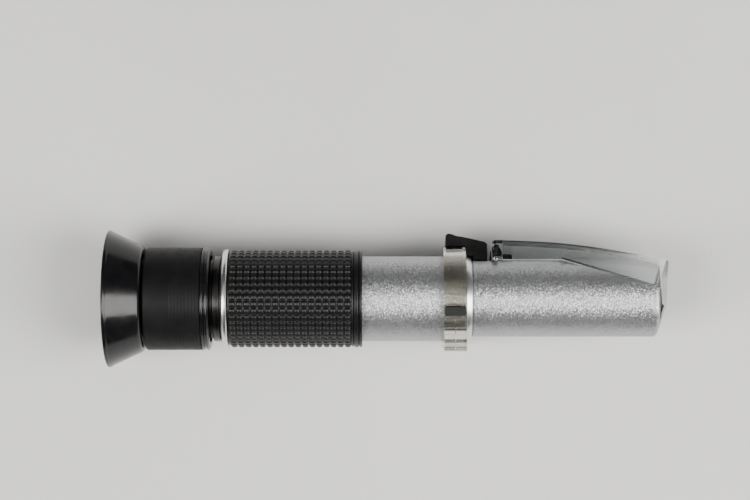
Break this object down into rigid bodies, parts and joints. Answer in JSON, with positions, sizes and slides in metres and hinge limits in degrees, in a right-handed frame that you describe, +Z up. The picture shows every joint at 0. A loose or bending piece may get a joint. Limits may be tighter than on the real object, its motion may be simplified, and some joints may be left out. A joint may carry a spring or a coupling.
{
  "type": "hand refractometer",
  "caption": "Hand-held refractometer: eyecup, focusing eyepiece, gripped barrel, guard ring and an oblique prism under a hinged daylight cover.",
  "frame": {"origin": "middle of the bounding box at its lowest point, with the instrument on its side and its optical axis level", "axes": "+X along the optical axis from the eyecup to the prism end, +Y towards the side with the hinged cover, +Z up"},
  "size_m": [0.159, 0.0392, 0.0392],
  "materials": {
    "eyecup_plastic": "glossy black",
    "focus_plastic": "satin black",
    "blackened_metal": "black anodised",
    "optical_glass": "polished",
    "chrome_trim": "polished",
    "grip_rubber": "moulded grid of raised pads",
    "silver_paint": "fine metallic silver paint",
    "black_rubber": "smooth",
    "hinge_plastic": "satin black",
    "steel": "bright",
    "clear_plastic": "clear moulded acrylic",
    "tinted_clear_plastic": "slightly yellow clear plastic",
    "brass": "turned"
  },
  "bodies": {
    "root": {"guide_tube": "blackened_metal", "trim_ring": "chrome_trim", "grip_sleeve": "grip_rubber", "main_tube": "silver_paint", "reticle_holder": "blackened_metal", "reticle": "optical_glass", "light_baffle": "blackened_metal", "prism_housing": "silver_paint", "measuring_prism": "optical_glass", "prism_gasket": "black_rubber", "hinge_block": "hinge_plastic", "hinge_pin": "steel", "strip_anchor": "steel"},
    "eyepiece": {"lens_cell": "blackened_metal", "eye_lens_retainer": "blackened_metal", "eye_lens": "optical_glass", "lens_spacer": "blackened_metal", "field_lens": "optical_glass", "field_lens_retainer": "blackened_metal"},
    "focus_ring": {"focus_barrel": "focus_plastic", "eyecup": "eyecup_plastic"},
    "flap": {"daylight_cover": "clear_plastic", "contact_plate": "clear_plastic"},
    "guard": {"guard_ring": "tinted_clear_plastic", "guard_stud": "black_rubber", "calibration_cap": "black_rubber"},
    "adjuster": {"calibration_screw": "steel"},
    "objective": {"objective_cell": "brass", "objective_lens": "optical_glass", "objective_retainer": "brass", "bimetal_strip": "brass"}
  },
  "joints": [
    {"name": "eyepiece_slide", "type": "slide", "parent": "root", "child": "eyepiece", "axis": [1, 0, 0], "range_m": [-0.00251, 0.00251]},
    {"name": "focus_turn", "type": "hinge", "parent": "eyepiece", "child": "focus_ring", "pos_m": [-0.0595, 0, 0.0196], "axis": [1, 0, 0], "range_deg": [-150, 150]},
    {"name": "cover_hinge", "type": "hinge", "parent": "root", "child": "flap", "pos_m": [0.0308, 0.01124, 0.01436], "axis": [0, 0.4226, 0.9063], "range_deg": [0, 95]},
    {"name": "guard_ring_turn", "type": "hinge", "parent": "root", "child": "guard", "pos_m": [0.019, 0, 0.0196], "axis": [1, 0, 0], "continuous": true},
    {"name": "calibration_turn", "type": "hinge", "parent": "root", "child": "adjuster", "pos_m": [0.0255, 0.00861, 0.01558], "axis": [0, 0.9063, -0.4226], "range_deg": [-201, 201]},
    {"name": "objective_shift", "type": "slide", "parent": "root", "child": "objective", "axis": [0, 0.9063, -0.4226], "range_m": [-0.00025, 0.00025]}
  ],
  "couplings": [
    {"joint": "eyepiece_slide", "follows": "focus_turn", "m_per_rad": 0.00095493},
    {"joint": "calibration_turn", "follows": "objective_shift", "rad_per_m": 13963}
  ]
}
